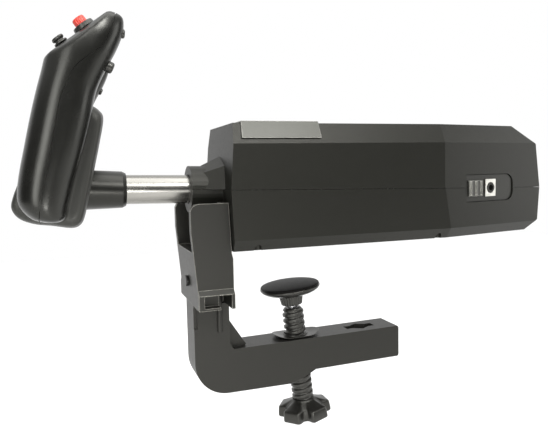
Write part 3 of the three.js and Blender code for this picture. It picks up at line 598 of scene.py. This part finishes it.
def thumb_frame(side, along):
    turn = Matrix.Rotation(-THUMB_ANGLE, 4, "Y")
    middle = Matrix.Translation((THUMB_MIDDLE[0], side * HORN_Y, THUMB_MIDDLE[1]))
    return middle @ turn @ Matrix.Translation((along, 0, 0))


def rear_frame(side, x, z, lean):
    turn = Matrix.Rotation(math.radians(lean), 4, "Y") @ Matrix.Rotation(math.pi / 2, 4, "Y")
    return Matrix.Translation((x, side * HORN_Y, z)) @ turn


RED_AT = 7.2
HAT_AT = -12
# Pocket radii: the collar's, the red buttons', the hats' and the screws'.
COLLAR_POCKET = 17.3
RED_POCKET = 6.95
HAT_POCKET = 4.4
SCREW_POCKET = 3.3
CONTROL_GAP = 0.4
# Side, x, z, lean in degrees and radius.
REAR_CONTROLS = [(-1, 36.6, 111.5, 4, 3.2), (-1, 27.8, 87.6, 24, 4.1), (1, 29.2, 93.5, 24, 3.2)]


def yoke_pockets():
    bm = bmesh.new()
    along_shaft = Matrix.Rotation(math.pi / 2, 4, "Y")
    rod_tool(bm, along_shaft, 8.5, 60, COLLAR_POCKET, 48)
    for side in (-1, 1):
        rod_tool(bm, thumb_frame(side, RED_AT), -9, 9, RED_POCKET, 40)
        rod_tool(bm, thumb_frame(side, HAT_AT), -6.5, 9, HAT_POCKET)
        rod_tool(bm, Matrix.Translation((0, side * 36, -9)) @ along_shaft, 6, 40, SCREW_POCKET)
    for side, x, z, lean, radius in REAR_CONTROLS:
        rod_tool(bm, rear_frame(side, x, z, lean), -9, 9, radius + CONTROL_GAP)
    return make_object("yoke_pockets", bm, SHAFT)


def seam_tool(towards_pilot):
    shift = -SEAM_GAP / 2 if towards_pilot else SEAM_GAP / 2
    far = -90 if towards_pilot else 90
    line = [(x + shift, z) for x, z in smooth_line(YOKE_SEAM, 4)] + [(far, 140), (far, -45)]
    rings = [[(x, y, z) for x, z in line] for y in (-PAST_GRIP, PAST_GRIP)]
    return make_object("seam_tool", skin(rings), SHAFT)


def make_seam_lip(whole, pockets, materials):
    """The lip inside the seam, which keeps light from showing through it."""
    line = smooth_line(YOKE_SEAM, 4)
    band = [(x - LIP_HALF, z) for x, z in line] + [(x + LIP_HALF, z) for x, z in reversed(line)]
    rings = [[(x, y, z) for x, z in band] for y in (-PAST_GRIP, PAST_GRIP)]
    lip = make_object("seam_band", skin(rings), SHAFT)
    core = bpy.data.objects.new("yoke_core", whole.data.copy())
    bpy.context.scene.collection.objects.link(core)
    shrink = core.modifiers.new("shrink", "DISPLACE")
    shrink.strength = -LIP_DEPTH * MM
    shrink.mid_level = 0
    settle(core)
    boolean(lip, core, "INTERSECT")
    boolean(lip, pockets, "DIFFERENCE")
    bpy.data.objects.remove(core)
    lip.name = "yoke_seam_lip"
    lip.data.materials.clear()
    lip.data.materials.append(materials["button_plastic"])
    lip.data.shade_smooth()
    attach(lip, "yoke")


def make_yoke(materials):
    whole = yoke_body()
    pockets = yoke_pockets()
    make_seam_lip(whole, pockets, materials)
    boolean(whole, pockets, "DIFFERENCE")
    for node, towards_pilot in (("yoke_front_shell", True), ("yoke_rear_shell", False)):
        tool = seam_tool(towards_pilot)
        shell = bpy.data.objects.new(node + "_moulding", whole.data.copy())
        bpy.context.scene.collection.objects.link(shell)
        boolean(shell, tool, "INTERSECT")
        bpy.data.objects.remove(tool)
        finish_piece(shell, node, "yoke", materials["grip_plastic"], 40)
    bpy.data.objects.remove(pockets)
    bpy.data.objects.remove(whole)


def placed(rings, frame):
    return [[frame @ Vector(point) for point in ring] for ring in rings]


def make_controls(materials):
    for side, hand in ((-1, "right"), (1, "left")):
        # Red push button with a fluted rim and a dished top.
        rows = [(4.5, -6), (4.5, 3.6), (4.55, 4.0), (4.55, 7.3), (4.35, 8.1), (3.9, 8.6), (3.3, 8.7),
                (2.6, 8.2), (0.2, 8.0)]

        def flutes(index, reach, height, angle):
            return reach - (0.42 * max(0, math.cos(9 * angle)) ** 3 if 2 <= index <= 6 else 0)

        rings = placed(turned(rows, 108, flutes), thumb_frame(side, RED_AT))
        button = make_object(hand + "_red_cap", skin(rings), SHAFT)
        finish_piece(button, hand + "_red_button", hand + "_red_button", materials["red_button_plastic"], 45)
        # Four-way hat: stem, skirt and a notched, dished cap.
        rows = [(2.2, -4.4), (2.2, 1.2), (4.6, 1.3), (4.95, 1.6), (4.8, 2.5), (3.3, 3.0), (3.2, 3.6),
                (4.2, 4.2), (4.5, 4.7), (4.45, 5.6), (4.1, 6.1), (3.2, 6.1), (2.2, 5.6), (0.2, 5.4)]

        def notches(index, reach, height, angle):
            return reach - (0.6 * max(0, math.cos(4 * angle)) ** 4 if 7 <= index <= 11 else 0)

        rings = placed(turned(rows, 96, notches), thumb_frame(side, HAT_AT))
        hat = make_object(hand + "_hat_cap", skin(rings), SHAFT)
        finish_piece(hat, hand + "_hat", hand + "_hat", materials["button_plastic"], 40)
    # Trigger: a small domed key.
    side, x, z, lean, radius = REAR_CONTROLS[1]
    rows = [(3.6, -5.5), (3.9, -5.2), (4.05, 0.4), (3.95, 1.2), (3.5, 1.8), (2.6, 2.15), (1.4, 2.25),
            (0.2, 2.3)]
    key = make_object("trigger_key", skin(placed(turned(rows, 48), rear_frame(side, x, z, lean))), SHAFT)
    finish_piece(key, "right_trigger", "right_trigger", materials["button_plastic"], 40)


# The clamp screw: its frame's Z runs up the leaning screw. Lengths are in millimetres.
SCREW_LEAN = math.radians(6)
SCREW = Matrix.Translation((0, 0, -0.05)) @ Matrix.Rotation(-SCREW_LEAN, 4, "Y")
PITCH = 5.8
CREST = 10.3
ROOT = 8.5


def thread_radius(height, angle):
    """Radius of a coarse right-hand moulded thread."""
    phase = (height / PITCH - angle / (2 * math.pi)) % 1
    rise = min(1, max(0, (0.5 - abs(phase - 0.5) - 0.14) / 0.16))
    return ROOT + (CREST - ROOT) * rise * rise * (3 - 2 * rise)


def make_screw(materials):
    bottom, top = -101.2, -11
    steps = int((top - bottom) / PITCH * 14)
    rows = [(6, bottom - 0.3)]
    rows += [(CREST, bottom + (top - bottom) * i / steps) for i in range(steps + 1)]
    rows += [(7.2, top + 0.25), (4.9, top + 0.25), (4.4, top), (4.4, -25.8)]
    last = len(rows) - 4

    def shape(index, reach, height, angle):
        if index == 0 or index >= last:
            return reach
        taper = min(1, (top - height) / 3.2)
        return min(thread_radius(height, angle), ROOT - 0.6 + (CREST - ROOT + 0.6) * taper)

    rod = make_object("threaded_rod", skin(turned(rows, 64, shape)), SCREW)
    finish_piece(rod, "clamp_rod", "clamp_screw", materials["clamp_screw_plastic"], 60)

    rows = [(7, -116.4), (10, -116.7), (12.5, -118.4), (20.5, -118.5), (23.4, -118.3), (24.5, -117.7),
            (24.8, -116.8), (24.7, -114.5), (24.0, -109.0), (23.7, -108.2), (22.9, -107.6), (21.0, -107.0),
            (16, -104.9), (12, -103), (11.3, -102.5), (10.8, -101.9), (10.4, -101.5)]

    def lobes(index, reach, height, angle):
        # Five broad flat-sided lobes with steep notches between them.
        off = ((5 * angle / (2 * math.pi)) % 1 - 0.5) * 72
        notch = math.exp(-(off / 13) ** 4)
        flat = 1 / math.cos(math.radians(min(24, 36 - abs(off))))
        share = min(1, max(0, (reach - 10.5) / 13))
        return reach * (1 + (0.99 * flat - 1 - 0.31 * notch) * share)

    knob = make_object("star_knob", skin(turned(rows, 160, lobes)), SCREW)
    finish_piece(knob, "clamp_knob", "clamp_screw", materials["knob"], 45)


def make_pad(materials):
    rows = [(0.4, 6.4), (4.5, 4.5), (6.0, 2.2), (6.4, 0), (6.2, -1.6), (5.4, -3.6), (6.1, -7.2), (6.4, -7.7),
            (9.2, -7.7), (9.7, -7.3), (10.0, -5.5), (10.5, -3), (10.9, -0.9), (11.1, 0.4), (11.6, 1.2),
            (14, 1.9), (17, 2.6), (20, 3.4), (23, 4.4), (25.5, 5.6), (27.2, 6.8), (27.9, 7.7), (27.6, 7.9),
            (27.6, 8.2), (28.4, 8.3), (28.6, 8.8), (28.5, 9.6), (28.0, 10.1), (27.4, 10.2), (0.4, 10.2)]

    def ribs(index, reach, height, angle):
        if 8 <= index <= 13:
            return reach + 0.35 * max(-0.3, math.cos(28 * angle))
        return reach

    pad = make_object("swivel_pad", skin(turned(rows, 224, ribs)), SCREW)
    finish_piece(pad, "clamp_pad", "clamp_pad", materials["knob"], 50)
    rows = [(0.3, 10.5), (27.4, 10.5), (27.9, 10.7), (28.0, 11.1), (27.5, 11.6), (26, 12.0), (22, 12.6),
            (16, 13.2), (9, 13.6), (3, 13.75), (0.3, 13.8)]
    cap = make_object("pad_rubber", skin(turned(rows, 96)), SCREW)
    finish_piece(cap, "pad_cap", "clamp_pad", materials["pad_rubber"], 50)


NUT_SLOPE = 0.0196
NUT_HOLE = 10.9
NUT_END = 14.4
NUT_X = 4
SCREW_X = 3.87


def make_nut_plate(materials):
    """Pressed plate whose two ends turn up, with a collar round the screw."""
    count = 96
    rows = [(0, 0.0), (0.72, 0.0), (0.90, 0.5), (1.0, 1.1), (1.02, 1.35), (1.0, 1.6), (0.90, 1.55),
            (0.72, 1.45), (0.3, 1.4), (0.1, 1.5), (0.06, 2.2), (0, 2.3), (0, 1.4)]
    rings = []
    for share, height in rows:
        ring = []
        for i in range(count):
            angle = 2 * math.pi * i / count
            c, s = math.cos(angle), math.sin(angle)
            # The screw leans, so its hole moves with height.
            hole = (NUT_HOLE * c - NUT_X + SCREW_X - math.tan(SCREW_LEAN) * height, NUT_HOLE * s)
            outer = (8.5 * math.copysign(min(1, abs(c) * 6), c) + NUT_END * c, NUT_END * s)
            lift = (max(0, abs(outer[0]) - 8) / 15) ** 2 * 2.4 * max(0, share - 0.3) / 0.7
            ring.append((hole[0] + (outer[0] - hole[0]) * share, hole[1] + (outer[1] - hole[1]) * share,
                         height + lift))
        rings.append(ring)
    bm = bmesh.new()
    loops = [[bm.verts.new(point) for point in ring] for ring in rings]
    for low, high in zip(loops, loops[1:] + loops[:1]):
        for i in range(count):
            j = (i + 1) % count
            bm.faces.new((low[i], low[j], high[j], high[i]))
    place = Matrix.Translation((0.004, 0, -0.0882)) @ Matrix.Rotation(-NUT_SLOPE, 4, "Y")
    plate = make_object("nut_plate_pressing", bm, place)
    finish_piece(plate, "nut_plate", "base", materials["knob"], 35)


# The pitch springs, in millimetres. The wire's and the coil's sizes are radii.
COIL_WIRE = 0.75
COIL_RADIUS = 5.5
COIL_STEPS = 24
WIRE_SIDES = 8
SPRING_ROD = (27, -8)


def make_spring(name, start, end, turns, materials):
    """Coil spring on the left guide rod, built at one fixed length from start to end; the real one shortens
    as the carriage comes.
    """
    wire, mean = COIL_WIRE, COIL_RADIUS
    steps = turns * COIL_STEPS
    rings = []
    for i in range(steps + 1):
        share = i / steps
        angle = 2 * math.pi * turns * share
        # The end coils lie close together.
        eased = share - 0.8 * math.sin(2 * math.pi * share) / (2 * math.pi)
        x = start + wire + (end - start - 2 * wire) * eased
        ring = []
        for k in range(WIRE_SIDES):
            turn = 2 * math.pi * k / WIRE_SIDES
            reach = mean + wire * math.cos(turn)
            ring.append((x + wire * math.sin(turn), SPRING_ROD[0] + reach * math.cos(angle),
                         SPRING_ROD[1] + reach * math.sin(angle)))
        rings.append(ring)
    spring = make_object(name + "_coil", skin(rings), SHAFT)
    finish_piece(spring, name, "base", materials["bright_steel"], 50)
    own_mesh(spring)


make_camera()
make_light()
materials = make_materials()
make_floor()
REPLACED = ("yoke_front_shell", "yoke_rear_shell", "clamp_rod", "clamp_knob", "clamp_pad", "pad_cap",
            "nut_plate", "right_red_button", "left_red_button", "right_hat", "left_hat", "right_trigger",
            "pitch_spring_front", "pitch_spring_rear")
for node in nodes:
    if node not in REPLACED:
        dress(node, materials)
make_yoke(materials)
make_controls(materials)
make_screw(materials)
make_pad(materials)
make_nut_plate(materials)
make_spring("pitch_spring_front", 136.4, 204.6, 9, materials)
make_spring("pitch_spring_rear", 235.4, 325.6, 12, materials)
